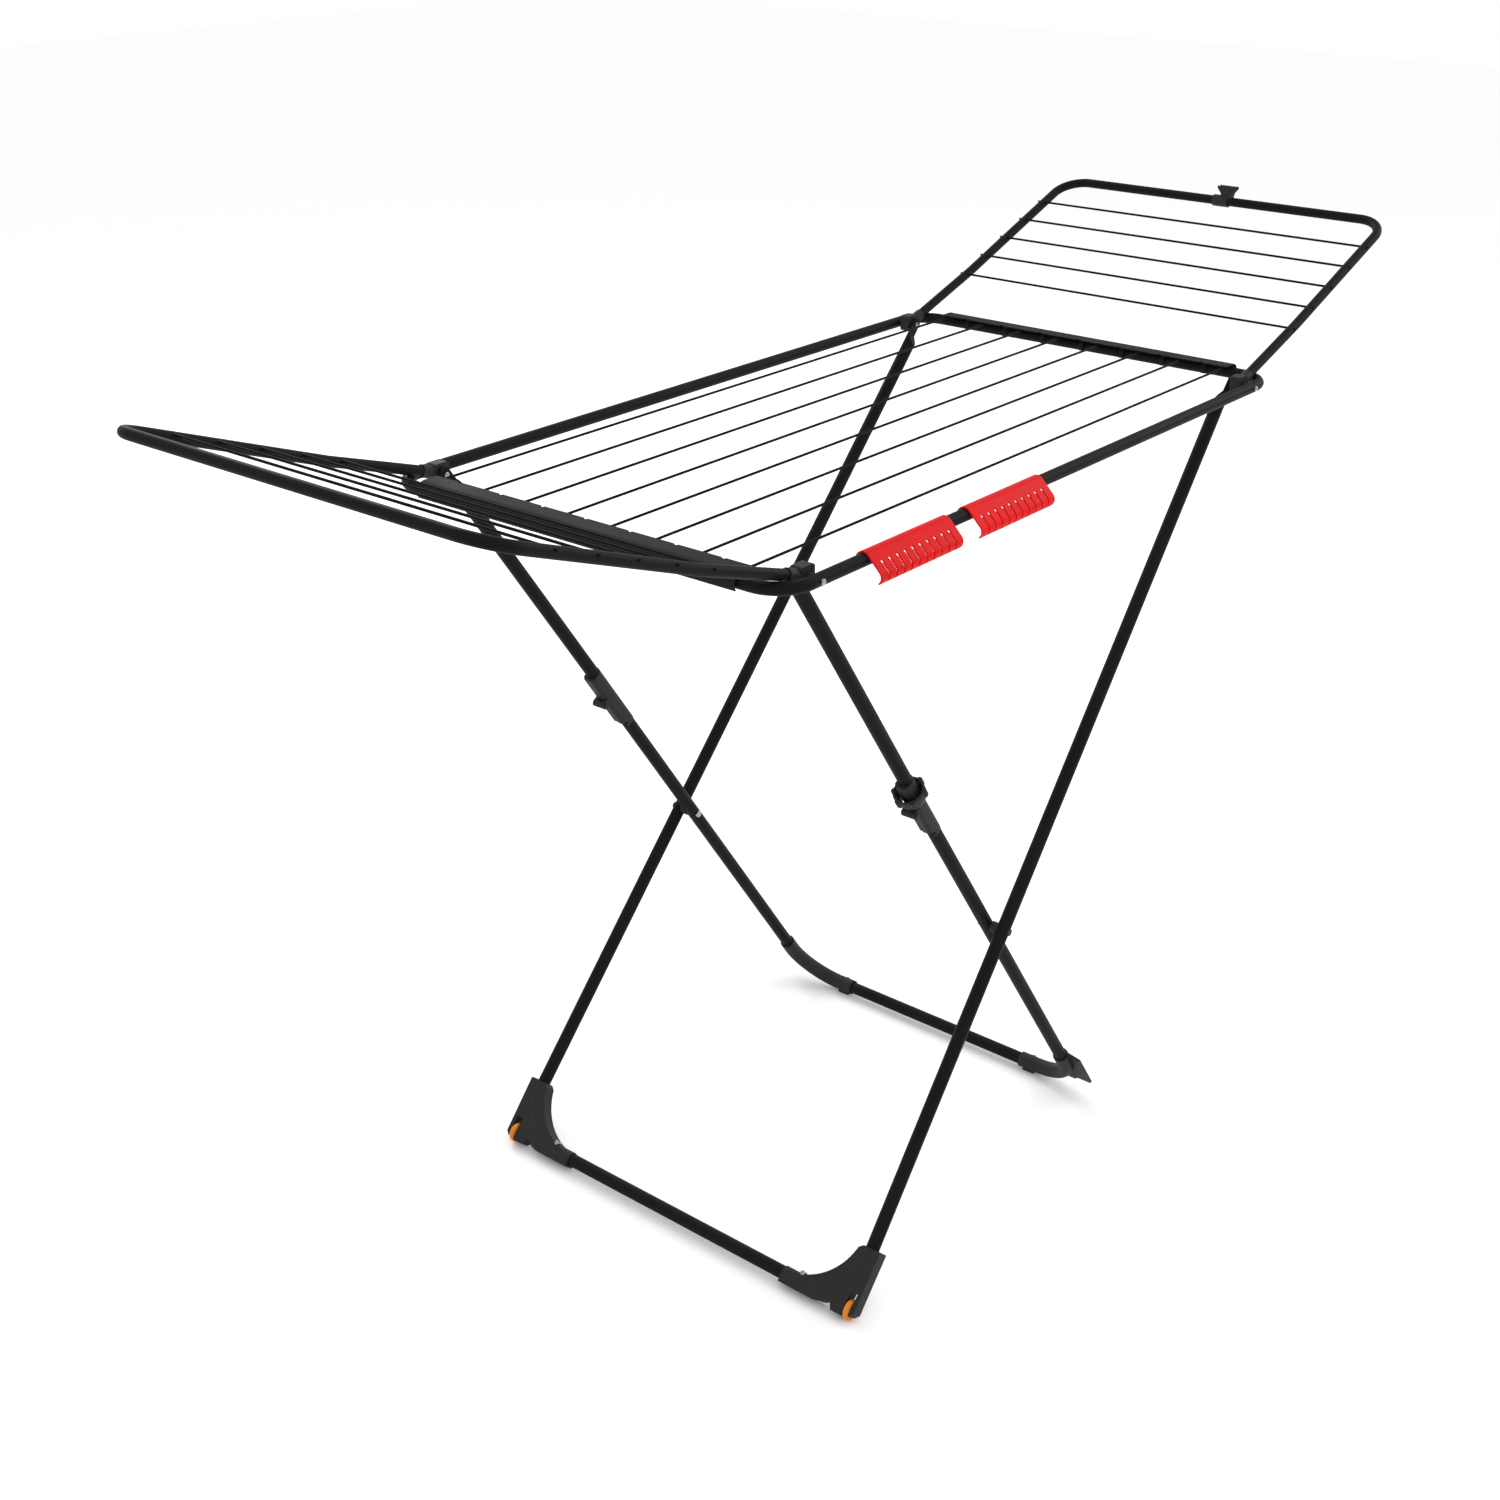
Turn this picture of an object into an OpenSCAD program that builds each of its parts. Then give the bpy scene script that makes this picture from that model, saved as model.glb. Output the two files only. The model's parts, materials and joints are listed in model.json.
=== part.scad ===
// Free-standing clothes drying rack: a wired top frame, two hinged wings and scissor legs.
// Each sub-part is built in rack coordinates: X along the rack, Y across it, and Z = 0 on
// the axis of the top frame's bars. on_floor() then lifts it so that it stands on Z = 0.

/* [Top frame] */
// Distance between the axes of the two end bars
frame_length = 1026; // [980:1:1080]
// Distance between the axes of the two side bars
frame_width = 560; // [540:1:600]
// Diameter of the top frame's tube
frame_tube = 14.6; // [12:0.2:16]
// Centre-line radius of the frame's corners
frame_corner = 41; // [34:1:50]
// Number of drying wires on the top frame
frame_wires = 8; // [4:2:10]
// Distance between two drying wires of the top frame
frame_wire_pitch = 62.9; // [40:0.1:64]
// Diameter of a drying wire
wire_d = 3.1; // [2:0.1:4]
// Length of an end cover
cover_length = 454; // [400:1:460]

/* [Pivots] */
// Distance of the pivot pins from the middle of the rack
pivot_x = 460.5; // [450:0.5:466]
// Diameter of a pivot pin
pivot_d = 6; // [5:0.1:7]

/* [Wings] */
// Distance from the middle of the rack to the axis of a wing's outer bar
wing_reach = 879.3; // [800:0.1:920]
// Height of a wing's outer bar above the top frame
wing_rise = 147.4; // [120:0.1:170]
// Slope of a wing's arms
wing_slope = 20.2; // [18:0.1:22]
// Slope of an arm between its pivot and its small bend
wing_root_slope = 18; // [17:0.1:19]
// Diameter of a wing's tube
wing_tube = 12.7; // [10:0.1:13]
// Distance of an arm's axis from the middle of the rack, across it
wing_arm_y = 261.5; // [260:0.1:262]
// Number of drying wires on a wing
wing_wires = 5; // [3:1:6]
// Distance between two drying wires of a wing
wing_wire_pitch = 55; // [40:0.5:56]
// Distance from the outer bar to the first drying wire
wing_first_wire = 75; // [60:0.5:80]

/* [Legs] */
// Diameter of the legs' tube
leg_tube = 17.2; // [16:0.1:18]
// Lean of the wheeled leg from the vertical
leg_a_lean = 40.86; // [38:0.01:42]
// Distance from the pivots to the wheeled leg's cross tube
leg_a_length = 1273.9; // [1250:0.1:1290]
// Half spacing of the wheeled leg's tubes at the pivots
leg_a_top_y = 245.6; // [245:0.1:245.8]
// Half spacing of the wheeled leg's tubes at the cross tube
leg_a_foot_y = 281; // [276:0.5:284]
// Lean of the jointed leg from the vertical
leg_b_lean = 35.11; // [33:0.01:37]
// Distance from the pivots to the jointed leg's cross tube
leg_b_length = 1178.4; // [1160:0.1:1190]
// Half spacing of the jointed leg's tubes
leg_b_y = 242.5; // [240:0.1:243]
// Distance from the pivots down to the knee hinges
knee_s = 430; // [420:1:440]
// Distance of a knee hinge from the axis of its tube
knee_offset = 17; // [16:0.5:18]
// Distance from the wheeled leg's pivots to the place where the legs cross
cross_a = 776.7; // [770:0.1:785]
// Distance from the jointed leg's pivots to the place where the legs cross
cross_b = 718; // [710:0.1:726]

/* [Wheels] */
// Diameter of a wheel
wheel_d = 26; // [24:0.5:27]
// Width of a wheel
wheel_w = 7; // [6:0.5:9]
// Half distance between the middles of the two wheels
wheel_y = 284.5; // [283:0.5:286]

/* [Sock clips] */
// Length of a sock clip along the bar
clip_length = 146; // [120:1:150]
// Number of teeth on a sock clip
clip_teeth = 11; // [8:1:12]
// Place of the middle of the outer clip along the bar
clip_outer_x = -312; // [-320:1:-305]
// Place of the middle of the inner clip along the bar
clip_inner_x = -130; // [-140:1:-120]

/* [Hidden] */
$fn = 48;

black = [0.14, 0.14, 0.14];
graphite = [0.24, 0.24, 0.25];
steel = [0.72, 0.73, 0.74];
orange = [0.94, 0.53, 0.16];
red = [0.96, 0.16, 0.16];

frame_r = frame_tube / 2;
wing_r = wing_tube / 2;
leg_r = leg_tube / 2;
wire_r = wire_d / 2;
pivot_r = pivot_d / 2;
wheel_r = wheel_d / 2;
side_y = frame_width / 2;
end_x = frame_length / 2;

// Clearances: a part that turns on a pin, a part fixed on a pin, a sleeve on a tube
run_gap = 0.05;
fit_gap = 0.02;
sleeve_gap = 0.12;

// The drying wires lie on top of the end bars, let 0.4 into them as a weld
weld = 0.4;
frame_wire_z = frame_r + wire_r - weld;
wing_wire_z = 3.3;

// Height of the top frame's axis above the floor: the wheels stand on the floor
wheel_s = leg_a_length + 1.7;
stand_h = wheel_s * cos(leg_a_lean) + wheel_r;

// Section of a sock clip: wall, inner radius, straight front and the curl's outer radius
clip_wall = 1.8;
clip_bore = frame_r + 0.4;
front_l = 21.6;
curl_r = 9;

// The reach of the sock clips and of the catch beyond the opposite side sets the centring
clip_reach = side_y + (front_l + clip_bore + clip_wall - curl_r) * cos(45) + curl_r;
foot_reach = 295;
catch_r = 8.4;
shift_x = -(catch_r - wing_r) / 2;
shift_y = (clip_reach - foot_reach) / 2;

module on_floor() translate([shift_x, shift_y, stand_h]) children();

// Copies for the far (+Y) and the near (-Y) side, and for the right (+X) and left (-X) end
module near_side() mirror([0, 1, 0]) children();
module left_end() mirror([1, 0, 0]) children();
module both_sides() {
    children();
    near_side() children();
}

// Leg coordinates: X runs across the rack, Y down the leg, Z away from the leg's upper face
module in_leg(x, lean) {
    translate([x, 0, 0])
        rotate([0, lean, 0])
            rotate([-90, 0, 90])
                children();
}
module in_leg_a() in_leg(pivot_x, leg_a_lean) children();
module in_leg_b() in_leg(-pivot_x, -leg_b_lean) children();

// ---- Bars and bends ----

function unit(v) = v / norm(v);
function turn(a, b) = atan2(a.x * b.y - a.y * b.x, a.x * b.x + a.y * b.y);
function setback(p, i, radius) =
    (i <= 0 || i >= len(p) - 1) ? 0
    : radius * tan(abs(turn(p[i] - p[i - 1], p[i + 1] - p[i])) / 2);

module rod(from, to, r) {
    d = to - from;
    translate([from.x, from.y, 0])
        rotate([0, 0, atan2(d.y, d.x)])
            rotate([0, 90, 0])
                cylinder(r = r, h = norm(d));
}

// One bend at point p, coming in along a and leaving along b
module elbow(p, a, b, radius, r) {
    angle = turn(a, b);
    start = p - a * radius * tan(abs(angle) / 2);
    centre = start + [-a.y, a.x] * sign(angle) * radius;
    arm = start - centre;
    translate([centre.x, centre.y, 0])
        rotate([0, 0, atan2(arm.y, arm.x) + min(angle, 0)])
            rotate_extrude(angle = abs(angle))
                translate([radius, 0])
                    circle(r = r);
}

// A round bar in the XY plane through the points p, with a bend at each inner point.
// With a step, the straights are that much fatter and run a little way into the bends.
lap = 0.05;

module bent_bar(p, radius, r, step = 0) {
    last = len(p) - 1;
    reach = step > 0 ? lap : 0;
    for (i = [0 : last - 1]) {
        d = unit(p[i + 1] - p[i]);
        start = i > 0 ? setback(p, i, radius) - reach : 0;
        stop = i < last - 1 ? setback(p, i + 1, radius) - reach : 0;
        rod(p[i] + d * start, p[i + 1] - d * stop, r + step);
    }
    for (i = [1 : last - 1])
        elbow(p[i], unit(p[i] - p[i - 1]), unit(p[i + 1] - p[i]), radius, r);
}

// A pin or a hole along Y at (x, z)
module across(x, z, y0, y1, r) {
    translate([x, y0, z])
        rotate([-90, 0, 0])
            cylinder(r = r, h = y1 - y0);
}

// The same in leg coordinates, where the rack's Y is the leg's X
module leg_across(s, off, x0, x1, r) {
    translate([x0, s, off])
        rotate([0, 90, 0])
            cylinder(r = r, h = x1 - x0);
}

// A rounded rectangle, centred
module round_rect(w, h, r) {
    square([w - 2 * r, h], center = true);
    square([w, h - 2 * r], center = true);
    for (x = [-1, 1], y = [-1, 1])
        translate([x * (w / 2 - r), y * (h / 2 - r)])
            circle(r = r);
}

// ---- Top frame ----

module main_frame() color(black) on_floor() difference() {
    bent_bar([
        [0, -side_y], [end_x, -side_y], [end_x, side_y],
        [-end_x, side_y], [-end_x, -side_y], [0, -side_y]
    ], frame_corner, frame_r);
    for (x = [-pivot_x, pivot_x], y = [-side_y, side_y])
        across(x, 0, y - 12, y + 12, pivot_r + fit_gap);
}

function wire_y(i) = (i - (frame_wires - 1) / 2) * frame_wire_pitch;

module main_wires() color(black) on_floor()
    for (i = [0 : frame_wires - 1])
        translate([-end_x, wire_y(i), frame_wire_z])
            rotate([0, 90, 0])
                cylinder(r = wire_r, h = frame_length);

cover_r = 12;
cover_wall = 1.5;
cover_flange = 19;
cover_drop = 6.4;

// Section of an end cover: x runs outward from the end bar's axis and y runs up
module cover_section() {
    difference() {
        circle(r = cover_r);
        circle(r = cover_r - cover_wall);
        translate([-20, -20])
            square([40, 20 - cover_drop]);
        translate([-20, -20])
            square([20, 40]);
    }
    translate([-cover_flange, cover_r - cover_wall])
        square([cover_flange, cover_wall]);
}

// Inner rib that snaps on the end bar
module cover_rib_section() difference() {
    circle(r = cover_r - 0.5);
    circle(r = frame_r + fit_gap);
    translate([-20, -25])
        square([40, 20]);
}

module along_y(y0, length) {
    translate([0, y0 + length, 0])
        rotate([90, 0, 0])
            linear_extrude(height = length)
                children();
}

cover_rib_w = 6;
cover_notch = [3, 5, 6];

module end_cover() translate([end_x, 0, 0]) difference() {
    union() {
        along_y(-cover_length / 2, cover_length)
            cover_section();
        for (i = [-3 : 3])
            along_y(i * frame_wire_pitch - cover_rib_w / 2, cover_rib_w)
                cover_rib_section();
    }
    for (i = [-3 : 3])
        translate([-cover_flange + 1, i * frame_wire_pitch, cover_r - 1])
            cube(cover_notch, center = true);
}

module end_cover_right() color(graphite) on_floor() end_cover();
module end_cover_left() color(graphite) on_floor() left_end() end_cover();

// ---- Pivots at the four corners ----

leg_tab_in = 249;
pin_in = leg_tab_in - 0.4;
pin_out = side_y + frame_r + 0.1;
pin_head_r = 3.4;
knuckle_in = 254.9;
knuckle_out = 268.9;

module pin_head(x, y, out) {
    translate([x, y, 0])
        rotate([out > 0 ? -90 : 90, 0, 0])
            intersection() {
                cylinder(r = pin_head_r, h = 2.2);
                translate([0, 0, -4.4])
                    sphere(r = 6.6);
            }
}

module pivot_pin(x) {
    across(x, 0, pin_in, pin_out, pivot_r);
    pin_head(x, pin_in, -1);
    pin_head(x, pin_out, 1);
}

module pivot_pins() color(steel) on_floor() both_sides() {
    pivot_pin(pivot_x);
    pivot_pin(-pivot_x);
}

module pivot_spacer(x) difference() {
    across(x, 0, knuckle_out + 0.3, side_y - 4, 6);
    across(x, 0, 250, 300, pivot_r + fit_gap);
    translate([x - 20, side_y, 0])
        rotate([0, 90, 0])
            cylinder(r = frame_r + fit_gap, h = 40);
}

module pivot_spacers() color(graphite) on_floor() both_sides() {
    pivot_spacer(pivot_x);
    pivot_spacer(-pivot_x);
}

// ---- Wings (built as the right one) ----

// Local wing frame: X up the arm's main slope, Y across, origin on the outer bar's axis
module in_wing() translate([wing_reach, 0, wing_rise]) rotate([0, -wing_slope, 0]) children();

// Where the main slope and the root slope meet
root_t = tan(wing_root_slope);
main_t = tan(wing_slope);
bend_x = (wing_rise - main_t * wing_reach + root_t * pivot_x) / (root_t - main_t);
wing_corner = 40;
arm_end = 5;
arm_radius = 60;
bar_step = 0.03;
arm_trim = arm_radius * tan((wing_slope - wing_root_slope) / 2);
arm_l = (wing_reach - bend_x) / cos(wing_slope) - arm_trim + lap;

// The small bend and the root of an arm, seen from the side
arm_corner = [bend_x, (bend_x - pivot_x) * root_t];
main_dir = [-cos(wing_slope), -sin(wing_slope)];
root_dir = [-cos(wing_root_slope), -sin(wing_root_slope)];
root_end = [pivot_x, 0] - root_dir * arm_end;

module wing_frame() difference() {
    union() {
        in_wing()
            bent_bar([
                [-arm_l, -wing_arm_y], [0, -wing_arm_y], [0, wing_arm_y], [-arm_l, wing_arm_y]
            ], wing_corner, wing_r, bar_step);
        for (y = [-wing_arm_y, wing_arm_y])
            translate([0, y, 0])
                rotate([90, 0, 0]) {
                    elbow(arm_corner, main_dir, root_dir, arm_radius, wing_r);
                    rod(arm_corner + root_dir * (arm_trim - lap), root_end, wing_r + bar_step);
                }
    }
    in_wing()
        for (i = [0 : wing_wires - 1], y = [-wing_arm_y, wing_arm_y])
            across(-wing_first_wire - i * wing_wire_pitch, wing_wire_z,
                y - 10, y + 10, wire_r + fit_gap);
}

wire_overhang = 1;

module wing_wire_set() in_wing()
    for (i = [0 : wing_wires - 1])
        across(-wing_first_wire - i * wing_wire_pitch, wing_wire_z,
            -wing_arm_y - wing_r - wire_overhang, wing_arm_y + wing_r + wire_overhang, wire_r);

// Moulded knuckle on the end of an arm: a block for the pin and a short sleeve
module wing_knuckle() difference() {
    intersection() {
        union() {
            translate([pivot_x, knuckle_out, 2])
                rotate([90, 0, 0])
                    linear_extrude(height = knuckle_out - knuckle_in)
                        round_rect(22, 22, 4);
            translate([pivot_x, wing_arm_y, 0])
                rotate([0, 90 - wing_root_slope, 0])
                    cylinder(r = wing_r + 1.3, h = 28);
        }
        translate([pivot_x - 20, knuckle_in, -20])
            cube([60, knuckle_out - knuckle_in, 60]);
    }
    translate([pivot_x, wing_arm_y, 0])
        rotate([0, 90 - wing_root_slope, 0])
            translate([0, 0, arm_end])
                cylinder(r = wing_r + bar_step + fit_gap, h = 40);
    across(pivot_x, 0, 250, 275, pivot_r + run_gap);
}

module wing_knuckles() both_sides() wing_knuckle();

module wing_right_frame() color(black) on_floor() wing_frame();
module wing_right_wires() color(black) on_floor() wing_wire_set();
module wing_right_knuckles() color(graphite) on_floor() wing_knuckles();
module wing_left_frame() color(black) on_floor() left_end() wing_frame();
module wing_left_wires() color(black) on_floor() left_end() wing_wire_set();
module wing_left_knuckles() color(graphite) on_floor() left_end() wing_knuckles();

// Catch that turns on the right wing's outer bar, with a flared open jaw
catch_y0 = -15;
catch_l = 24;
jaw_y = -12;
jaw_base = 6.5;
jaw_top = 22;
jaw_gap = 5.6;

module wing_catch() color(black) on_floor() translate([wing_reach, 0, wing_rise]) difference() {
    union() {
        across(0, 0, catch_y0, catch_y0 + catch_l, catch_r);
        translate([0, jaw_y, 0])
            rotate([90, 0, 90])
                translate([0, 0, -jaw_gap / 2 - 2.4])
                    linear_extrude(height = jaw_gap + 4.8)
                        polygon([
                            [-7.5, jaw_base - 3], [7.5, jaw_base - 3], [9, 12],
                            [14.7, jaw_top - 3], [14.7, jaw_top], [-14.7, jaw_top],
                            [-14.7, jaw_top - 3], [-9, 12]
                        ]);
    }
    across(0, 0, -60, 60, wing_r + 0.3);
    translate([-jaw_gap / 2, -60, catch_r + 2.6])
        cube([jaw_gap, 120, 30]);
}

// ---- Wheeled leg ----

leg_a_splay = (leg_a_foot_y - leg_a_top_y) / leg_a_length;
leg_top = 9.5;
bend_a = 72;
bend_b = 66;

function leg_a_x(s) = leg_a_top_y + leg_a_splay * s;

function leg_a_path(s0) = [
    [-leg_a_x(s0), s0], [-leg_a_foot_y, leg_a_length],
    [leg_a_foot_y, leg_a_length], [leg_a_x(s0), s0]
];

// Cut that flattens the top of a leg tube against its outer face and rounds its end
module leg_top_cut() {
    translate([0, 0, -30])
        linear_extrude(height = 60)
            polygon([[200, -30], [leg_tab_in, -30], [leg_tab_in, 15], [236, 35], [200, 35]]);
    difference() {
        translate([200, -30, -30])
            cube([100, 30, 60]);
        leg_across(0, 0, 190, 310, leg_top);
    }
    leg_across(0, 0, 230, 270, pivot_r + run_gap);
}

module leg_a_frame() color(black) on_floor() in_leg_a() difference() {
    bent_bar(leg_a_path(-leg_top), bend_a, leg_r, bar_step);
    leg_top_cut();
    mirror([1, 0, 0])
        leg_top_cut();
}

// Foot with a wheel: a gusset plate and a sleeve around the bend of the tube
foot_top = 1199;
foot_in = 182;
foot_edge = 295;
foot_toe = 1286;
plate_half = 9.2;
inner_arc = [184, 1185];
inner_r = 83;
slot_y0 = wheel_y - wheel_w / 2 - 1.6;
slot_y1 = wheel_y + wheel_w / 2 + 1.6;
slot_top = 1255;

module gusset_outline() difference() {
    polygon([
        [foot_in, leg_a_length], [foot_in, foot_toe - 1], [236, foot_toe - 1],
        [246, foot_toe - 3], [254, 1278], [259, 1278], [264, foot_toe],
        [foot_edge - 8, foot_toe], [foot_edge, foot_toe - 8], [foot_edge, foot_top],
        [leg_a_x(foot_top) - leg_r, foot_top]
    ]);
    translate(inner_arc)
        circle(r = inner_r);
}

function foot_a_path(extra) = [
    [leg_a_x(foot_top - extra), foot_top - extra], [leg_a_foot_y, leg_a_length],
    [foot_in - extra, leg_a_length]
];

module foot_a() difference() {
    union() {
        translate([0, 0, -plate_half])
            linear_extrude(height = 2 * plate_half)
                gusset_outline();
        bent_bar(foot_a_path(0), bend_a, leg_r + 1.3, bar_step);
    }
    bent_bar(foot_a_path(20), bend_a, leg_r + sleeve_gap, bar_step);
    translate([slot_y0, slot_top, -30])
        cube([slot_y1 - slot_y0, 60, 60]);
    leg_across(wheel_s, 0, 270, 290.5, 2.5 + fit_gap);
    translate([210, 1262, -20])
        cylinder(r = 1.7, h = 40);
}

// The foot ends just above the floor, so that the rack stands on the wheel
module foot_a_in_place() difference() {
    in_leg_a() foot_a();
    translate([-500, 150, -stand_h - 30])
        cube([300, 200, 31.2]);
}

module foot_a_far() color(graphite) on_floor() foot_a_in_place();
module foot_a_near() color(graphite) on_floor() near_side() foot_a_in_place();

module wheel() in_leg_a() translate([wheel_y - wheel_w / 2, wheel_s, 0]) rotate([0, 90, 0])
    rotate_extrude()
        polygon([
            [2.5 + run_gap, 0], [wheel_r - 2, 0], [wheel_r - 0.6, 0.7], [wheel_r, 2.2],
            [wheel_r, wheel_w - 2.2], [wheel_r - 0.6, wheel_w - 0.7], [wheel_r - 2, wheel_w],
            [2.5 + run_gap, wheel_w]
        ]);

module wheel_far() color(orange) on_floor() wheel();
module wheel_near() color(orange) on_floor() near_side() wheel();

module wheel_axles() color(steel) on_floor() both_sides() in_leg_a()
    leg_across(wheel_s, 0, 272, 290, 2.5);

module foot_a_screws() color(steel) on_floor() both_sides() in_leg_a()
    translate([210, 1262, 0])
        screw(plate_half + 0.8, 9);

// Cross-head screw along Z, its head standing on the height z
module screw(z, shank) {
    translate([0, 0, z - shank])
        cylinder(r = 1.65, h = shank);
    difference() {
        translate([0, 0, z])
            intersection() {
                cylinder(r = 3, h = 1.8);
                translate([0, 0, -2.6])
                    sphere(r = 4.4);
            }
        translate([0, 0, z + 1.6])
            cube([3.6, 0.8, 1.6], center = true);
        translate([0, 0, z + 1.6])
            cube([0.8, 3.6, 1.6], center = true);
    }
}

// Spacer and outer rivet head where the legs cross. The spacer ends short of the other leg.
spacer_gap = 0.5;

module crossing_spacers() color(graphite) on_floor() both_sides() in_leg_a() {
    difference() {
        leg_across(cross_a, 0, leg_b_y + leg_r + spacer_gap, leg_a_x(cross_a), 7);
        bent_bar(leg_a_path(600), bend_a, leg_r + fit_gap, bar_step);
    }
    difference() {
        leg_across(cross_a, 0, leg_a_x(cross_a), leg_a_x(cross_a) + leg_r + 1.6, 4.6);
        bent_bar(leg_a_path(600), bend_a, leg_r + fit_gap, bar_step);
    }
}

// ---- Jointed leg ----

knee_top = knee_s - 46;
upper_end = knee_s - 38;
lower_start = knee_s + 52;

module leg_b_upper() in_leg_b() difference() {
    rod([leg_a_top_y, -leg_top], [leg_b_y, upper_end], leg_r);
    leg_top_cut();
}

module leg_b_upper_far() color(black) on_floor() leg_b_upper();
module leg_b_upper_near() color(black) on_floor() near_side() leg_b_upper();

// Knee: two moulded sockets with a knuckle hinge on the side that closes
knee_half = 9.5;
knee_back = 12.6;
knee_bottom = 490;
knuckle_r = 5;
knuckle_half = 3.8;
knuckle_gap = 0.3;
knee_pin_r = 1.7;
joint_gap = 0.15;

module socket_section() {
    circle(r = knee_half);
    polygon([
        [-knee_half, 0], [-knee_half, -8.4], [-5.6, -knee_back],
        [5.6, -knee_back], [knee_half, -8.4], [knee_half, 0]
    ]);
}

module socket(s0, s1) {
    translate([0, s0, 0])
        rotate([-90, 0, 0])
            linear_extrude(height = s1 - s0)
                socket_section();
}

module knee_knuckle(x0, x1, s0, s1) {
    leg_across(knee_s, knee_offset, x0, x1, knuckle_r);
    translate([x0, s0, knee_back - 3])
        cube([x1 - x0, s1 - s0, knee_offset - knee_back + 2]);
}

outer_in = knuckle_half + knuckle_gap;

module knee_upper() in_leg_b() translate([leg_b_y, 0, 0]) difference() {
    union() {
        socket(knee_top, knee_s - joint_gap);
        knee_knuckle(outer_in, knee_half, knee_s - 5, knee_s);
        knee_knuckle(-knee_half, -outer_in, knee_s - 5, knee_s);
    }
    leg_across(knee_s, knee_offset, -outer_in, outer_in, knuckle_r + 0.3);
    leg_across(knee_s, knee_offset, -20, 20, knee_pin_r + fit_gap);
    rod([0, knee_top - 10], [0, upper_end], leg_r + sleeve_gap);
}

module knee_lower() in_leg_b() translate([leg_b_y, 0, 0]) difference() {
    union() {
        socket(knee_s + joint_gap, knee_bottom);
        knee_knuckle(-knuckle_half, knuckle_half, knee_s, knee_s + 5);
    }
    leg_across(knee_s, knee_offset, knuckle_half, 20, knuckle_r + 0.3);
    leg_across(knee_s, knee_offset, -20, -knuckle_half, knuckle_r + 0.3);
    leg_across(knee_s, knee_offset, -20, 20, knee_pin_r + run_gap);
    rod([0, lower_start], [0, knee_bottom + 10], leg_r + sleeve_gap);
    translate([-20, knee_bottom, 8])
        rotate([35, 0, 0])
            translate([0, -8, 0])
                cube([40, 30, 20]);
}

module knee_upper_far() color(black) on_floor() knee_upper();
module knee_upper_near() color(black) on_floor() near_side() knee_upper();
module knee_lower_far() color(black) on_floor() knee_lower();
module knee_lower_near() color(black) on_floor() near_side() knee_lower();

module knee_pins() color(steel) on_floor() both_sides() in_leg_b() translate([leg_b_y, 0, 0]) {
    leg_across(knee_s, knee_offset, -knee_half - 0.3, knee_half + 0.3, knee_pin_r);
    for (x = [-knee_half - 1.3, knee_half + 0.3])
        leg_across(knee_s, knee_offset, x, x + 1, 3.2);
}

// Grip collar that slides on the near upper tube and drops over the knee's socket
collar_off = 3;
collar_top = 400;
collar_bore = 12.9;

module collar_shell() {
    rotate([-90, 0, 0])
        rotate_extrude()
            polygon([
                [collar_bore, 20], [collar_bore + 2, 20], [collar_bore + 3.4, 16],
                [collar_bore + 6, 10], [collar_bore + 6.6, 2], [collar_bore + 5.6, 0],
                [collar_bore + 4, 0], [collar_bore + 2.4, 5], [collar_bore, 9]
            ]);
}

module collar_lobe(angle) {
    rotate([-90, 0, 0])
        rotate([0, 0, angle])
            translate([17.6, 0, 1]) {
                cylinder(r = 4, h = 8.5);
                translate([0, 0, 8.5])
                    cylinder(r1 = 4, r2 = 1, h = 5.5);
            }
}

module knee_collar() color(graphite) on_floor() near_side() in_leg_b()
    translate([leg_b_y, collar_top, collar_off]) difference() {
        union() {
            collar_shell();
            for (a = [20, 75, 140, 200, 255, 315])
                collar_lobe(a);
        }
        rotate([-90, 0, 0])
            translate([0, 0, -1])
                cylinder(r = collar_bore + 3.4, h = 5);
        rotate([-90, 0, 0])
            cylinder(r = collar_bore, h = 40);
    }

leg_b_path = [
    [-leg_b_y, lower_start], [-leg_b_y, leg_b_length],
    [leg_b_y, leg_b_length], [leg_b_y, lower_start]
];

module leg_b_frame() color(black) on_floor() in_leg_b() bent_bar(leg_b_path, bend_b, leg_r);

module crossing_rivets() color(steel) on_floor() both_sides() in_leg_b() difference() {
    leg_across(cross_b, 0, leg_b_y - leg_r - 1.6, leg_b_y, 4.6);
    bent_bar(leg_b_path, bend_b, leg_r);
}

// Foot of the jointed leg: a sleeve round the bend, a flat fin and a pad
foot_b_top = 1092;
foot_b_in = 152;
fin_edge = 268;
fin_half = 2;
pad_x = 10;

function foot_b_path(extra) = [
    [leg_b_y, foot_b_top - extra], [leg_b_y, leg_b_length], [foot_b_in - extra, leg_b_length]
];

module fin_outline() polygon([
    [leg_b_y, foot_b_top], [leg_b_y + leg_r, foot_b_top], [fin_edge, foot_b_top + 10],
    [fin_edge, 1170], [247, 1170], [240, 1178], [leg_b_y - 40, 1178], [leg_b_y - 4, 1140]
]);

module pad(y0, y1) {
    translate([foot_b_x - pad_x / 2, y0, -stand_h])
        cube([pad_x, y1 - y0, 9]);
}
foot_b_x = leg_b_length * sin(leg_b_lean) - pivot_x;

module foot_b() difference() {
    union() {
        in_leg_b() {
            translate([0, 0, -fin_half - 5])
                linear_extrude(height = 2 * fin_half)
                    fin_outline();
            bent_bar(foot_b_path(0), bend_b, leg_r + 2.2, bar_step);
        }
        pad(158, 176);
    }
    in_leg_b() {
        bent_bar(foot_b_path(20), bend_b, leg_r + sleeve_gap, bar_step);
        translate([168, leg_b_length, -20])
            cylinder(r = 1.7, h = 20);
    }
}

module foot_b_far() color(graphite) on_floor() foot_b();
module foot_b_near() color(graphite) on_floor() near_side() foot_b();

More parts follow.
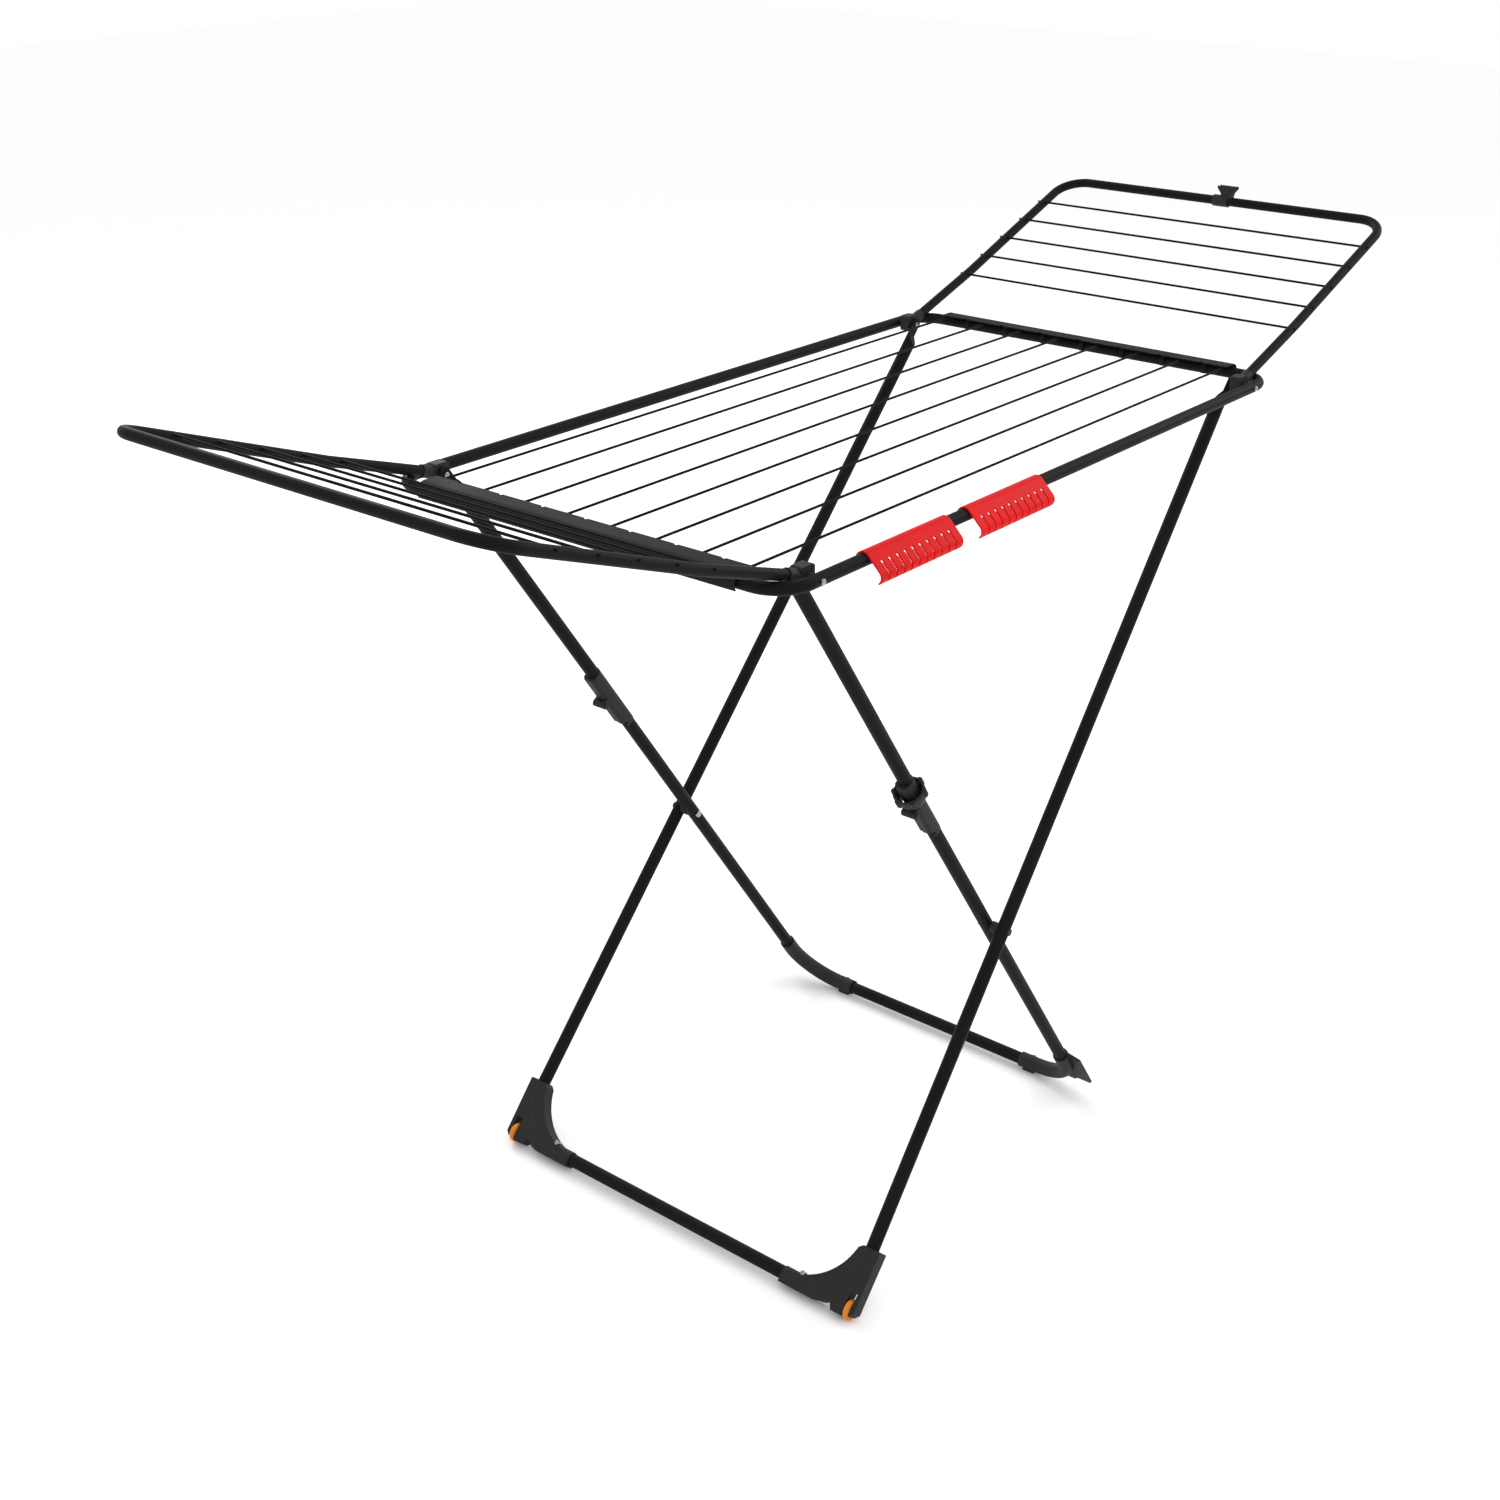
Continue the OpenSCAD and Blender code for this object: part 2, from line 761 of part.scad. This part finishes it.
module foot_b_screws() color(steel) on_floor() both_sides() in_leg_b()
    translate([168, leg_b_length, 0])
        mirror([0, 0, 1])
            screw(leg_r + 2.2 + bar_step + fit_gap, 1.8);

// ---- Sock clips on the near side bar ----

slit_w = 2.4;
slit_hole_r = 2;
slit_start = 11.5;
tooth_pitch = clip_length / clip_teeth;

// Section of a clip about the bar's axis, turned so that its straight front lies flat
module clip_section() {
    difference() {
        circle(r = clip_bore + clip_wall);
        circle(r = clip_bore);
        translate([0, -20])
            square([20, 40]);
    }
    translate([0, clip_bore])
        square([front_l, clip_wall]);
    translate([front_l, clip_bore + clip_wall - curl_r])
        intersection() {
            difference() {
                circle(r = curl_r);
                circle(r = curl_r - clip_wall);
            }
            polygon([[0, 0], [0, 20], [20, 20], [20, -4]]);
        }
}

module sock_clip(x) translate([x, -side_y, 0]) mirror([0, 1, 0]) rotate([-45, 0, 0]) difference() {
    rotate([90, 0, 90])
        linear_extrude(height = clip_length, center = true)
            clip_section();
    for (i = [1 : clip_teeth - 1])
        translate([-clip_length / 2 + i * tooth_pitch, slit_start, 0]) {
            translate([-slit_w / 2, 0, -15])
                cube([slit_w, 30, 30]);
            cylinder(r = slit_hole_r, h = 15);
        }
}

module sock_clip_outer() color(red) on_floor() sock_clip(clip_outer_x);
module sock_clip_inner() color(red) on_floor() sock_clip(clip_inner_x);

// ---- Nodes ----

main_frame();
main_wires();
end_cover_left();
end_cover_right();
pivot_pins();
pivot_spacers();
wing_left_frame();
wing_left_wires();
wing_left_knuckles();
wing_right_frame();
wing_right_wires();
wing_right_knuckles();
wing_catch();
leg_a_frame();
foot_a_far();
foot_a_near();
wheel_far();
wheel_near();
wheel_axles();
foot_a_screws();
crossing_spacers();
leg_b_upper_far();
leg_b_upper_near();
knee_upper_far();
knee_upper_near();
knee_pins();
knee_collar();
leg_b_frame();
knee_lower_far();
knee_lower_near();
crossing_rivets();
foot_b_far();
foot_b_near();
foot_b_screws();
sock_clip_outer();
sock_clip_inner();
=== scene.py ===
"""Clothes drying rack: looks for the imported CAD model, with the photo's camera and studio light."""
import json

import bpy
from mathutils import Matrix, Vector


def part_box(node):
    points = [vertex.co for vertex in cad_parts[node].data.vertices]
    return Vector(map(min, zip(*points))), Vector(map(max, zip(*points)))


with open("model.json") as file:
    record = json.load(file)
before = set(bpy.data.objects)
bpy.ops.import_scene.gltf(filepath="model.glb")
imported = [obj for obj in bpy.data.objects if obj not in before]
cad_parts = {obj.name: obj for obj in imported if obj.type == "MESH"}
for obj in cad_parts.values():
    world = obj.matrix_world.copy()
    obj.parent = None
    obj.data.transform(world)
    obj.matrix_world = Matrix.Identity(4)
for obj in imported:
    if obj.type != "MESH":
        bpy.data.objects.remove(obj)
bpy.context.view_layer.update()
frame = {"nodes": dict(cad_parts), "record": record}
nodes = frame["nodes"]


# The rack's own origin: the middle of the top frame's axis
frame_low, frame_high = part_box("main_frame")
ORIGIN = Vector([(a + b) / 2 for a, b in zip(frame_low, frame_high)])


# ---- Materials ----

def new_material(name, colour, rough, metal=0.0, gleam=0.5):
    mat = bpy.data.materials.new(name)
    mat.use_nodes = True
    shader = mat.node_tree.nodes["Principled BSDF"]
    shader.inputs["Base Color"].default_value = (*colour, 1)
    shader.inputs["Roughness"].default_value = rough
    shader.inputs["Metallic"].default_value = metal
    shader.inputs["Specular IOR Level"].default_value = gleam
    return mat, mat.node_tree, shader


def noise(tree, scale, detail=4.0, stretch=None):
    coords = tree.nodes.new("ShaderNodeTexCoord")
    out = tree.nodes.new("ShaderNodeTexNoise")
    out.inputs["Scale"].default_value = scale
    out.inputs["Detail"].default_value = detail
    source = coords.outputs["Object"]
    if stretch:
        mapping = tree.nodes.new("ShaderNodeMapping")
        mapping.inputs["Scale"].default_value = stretch
        tree.links.new(source, mapping.inputs["Vector"])
        source = mapping.outputs["Vector"]
    tree.links.new(source, out.inputs["Vector"])
    return out


# The part of a noise texture's range that is stretched over the whole spread
NOISE_LOW, NOISE_HIGH = 0.3, 0.7


def spread(tree, texture, low, high):
    """A value from low to high that follows a noise texture."""
    ramp = tree.nodes.new("ShaderNodeMapRange")
    ramp.inputs["From Min"].default_value = NOISE_LOW
    ramp.inputs["From Max"].default_value = NOISE_HIGH
    ramp.inputs["To Min"].default_value = low
    ramp.inputs["To Max"].default_value = high
    tree.links.new(texture.outputs["Fac"], ramp.inputs["Value"])
    return ramp.outputs["Result"]


# Sockets of a Mix node in RGBA mode
MIX_FACTOR, MIX_A, MIX_B, MIX_RESULT = 0, 6, 7, 2


def tint(tree, shader, texture, dark, light):
    """A base colour from dark to light that follows a noise texture."""
    mix = tree.nodes.new("ShaderNodeMix")
    mix.data_type = "RGBA"
    mix.inputs[MIX_A].default_value = (*dark, 1)
    mix.inputs[MIX_B].default_value = (*light, 1)
    tree.links.new(spread(tree, texture, 0.0, 1.0), mix.inputs[MIX_FACTOR])
    tree.links.new(mix.outputs[MIX_RESULT], shader.inputs["Base Color"])


# Radius of a moulded part's softened edges, in metres
EDGE = 0.0004


def bump(tree, shader, texture, strength, distance, edge=0.0):
    """Surface grain, and a softened edge where edge is its radius."""
    node = tree.nodes.new("ShaderNodeBump")
    node.inputs["Strength"].default_value = strength
    node.inputs["Distance"].default_value = distance
    tree.links.new(texture.outputs["Fac"], node.inputs["Height"])
    tree.links.new(node.outputs["Normal"], shader.inputs["Normal"])
    if edge:
        soft = tree.nodes.new("ShaderNodeBevel")
        soft.samples = 4
        soft.inputs["Radius"].default_value = edge
        tree.links.new(soft.outputs["Normal"], node.inputs["Normal"])


def coated_metal(name, colour, rough):
    """Powder-coated steel: a fine orange-peel surface with slightly uneven gloss."""
    mat, tree, shader = new_material(name, colour, rough, gleam=0.05)
    peel = noise(tree, 900.0, 2.0)
    bump(tree, shader, peel, 0.12, 0.0002)
    patches = noise(tree, 9.0)
    tree.links.new(spread(tree, patches, rough - 0.05, rough + 0.06), shader.inputs["Roughness"])
    tint(tree, shader, patches, [c * 0.85 for c in colour], [c * 1.2 for c in colour])
    return mat


def moulded(name, colour, rough, gleam=0.12):
    """Moulded plastic with a fine spark-eroded grain."""
    mat, tree, shader = new_material(name, colour, rough, gleam=gleam)
    bump(tree, shader, noise(tree, 700.0, 3.0), 0.2, 0.0003, EDGE)
    patches = noise(tree, 14.0)
    tree.links.new(spread(tree, patches, rough - 0.06, rough + 0.05), shader.inputs["Roughness"])
    tint(tree, shader, patches, [c * 0.92 for c in colour], [c * 1.08 for c in colour])
    return mat


def plated(name):
    """Zinc-plated steel with fine turning marks."""
    mat, tree, shader = new_material(name, (0.34, 0.34, 0.35), 0.35, metal=1.0)
    marks = noise(tree, 300.0, 5.0, stretch=(1.0, 6.0, 1.0))
    tree.links.new(spread(tree, marks, 0.2, 0.4), shader.inputs["Roughness"])
    bump(tree, shader, marks, 0.08, 0.0001)
    return mat


looks = {
    "black_tube": coated_metal("black_tube", (0.0072, 0.0072, 0.0075), 0.5),
    "black_wire": coated_metal("black_wire", (0.003, 0.003, 0.0033), 0.55),
    "steel": plated("steel"),
    "cover_plastic": moulded("cover_plastic", (0.0115, 0.0115, 0.012), 0.6, gleam=0.06),
    "moulded_plastic": moulded("moulded_plastic", (0.019, 0.019, 0.0195), 0.55),
    "red_plastic": moulded("red_plastic", (0.63, 0.006, 0.007), 0.42, gleam=0.05),
    "orange_plastic": moulded("orange_plastic", (0.66, 0.20, 0.022), 0.45),
}
for part in frame["record"]["subparts"]:
    obj = nodes[part["node"]]
    for slot in obj.material_slots:
        slot.link = "OBJECT"
        slot.material = looks[part["material_slot"]]

# ---- Floor, camera and light ----

FLOOR_HALF = 12.0
corners = [(-FLOOR_HALF, -FLOOR_HALF, 0), (FLOOR_HALF, -FLOOR_HALF, 0),
           (FLOOR_HALF, FLOOR_HALF, 0), (-FLOOR_HALF, FLOOR_HALF, 0)]
mesh = bpy.data.meshes.new("floor")
mesh.from_pydata(corners, [], [(0, 1, 2, 3)])
floor = bpy.data.objects.new("floor", mesh)
bpy.context.collection.objects.link(floor)
floor.data.materials.append(new_material("floor_white", (0.98, 0.98, 0.98), 0.9)[0])

# The camera as fitted to the photo: place, direction, roll and focal length
EYE = ORIGIN + Vector((-1.974013, -1.430577, 0.712169))
AHEAD = Vector((0.70061, 0.57176, -0.42688))
ROLL = 0.003
FOCAL_PX, SENSOR_MM, WIDTH_PX = 2056.96, 36.0, 1500

camera_data = bpy.data.cameras.new("camera")
camera_data.sensor_width = SENSOR_MM
camera_data.lens = FOCAL_PX / WIDTH_PX * SENSOR_MM
camera = bpy.data.objects.new("camera", camera_data)
bpy.context.collection.objects.link(camera)
camera.location = EYE
camera.rotation_euler = (AHEAD.to_track_quat("-Z", "Y").to_matrix()
                         @ Matrix.Rotation(ROLL, 3, "Z")).to_euler()
bpy.context.scene.camera = camera


def area_light(name, place, aim, power, size):
    data = bpy.data.lights.new(name, "AREA")
    data.energy = power
    data.shape = "DISK"
    data.size = size
    light = bpy.data.objects.new(name, data)
    bpy.context.collection.objects.link(light)
    light.location = place
    light.rotation_euler = (Vector(aim) - Vector(place)).to_track_quat("-Z", "Y").to_euler()


area_light("key", (-2.0, -3.2, 3.6), (0, 0, 0.6), 16, 2.6)
area_light("fill", (3.4, -1.6, 2.6), (0, 0, 0.6), 45, 2.6)
area_light("rim", (1.6, 3.6, 3.0), (0, 0, 0.7), 60, 2.0)

bpy.context.scene.view_settings.view_transform = "Standard"
world = bpy.data.worlds.new("studio")
bpy.context.scene.world = world
world.use_nodes = True
background = world.node_tree.nodes["Background"]
background.inputs["Color"].default_value = (1, 1, 1, 1)
background.inputs["Strength"].default_value = 1.0
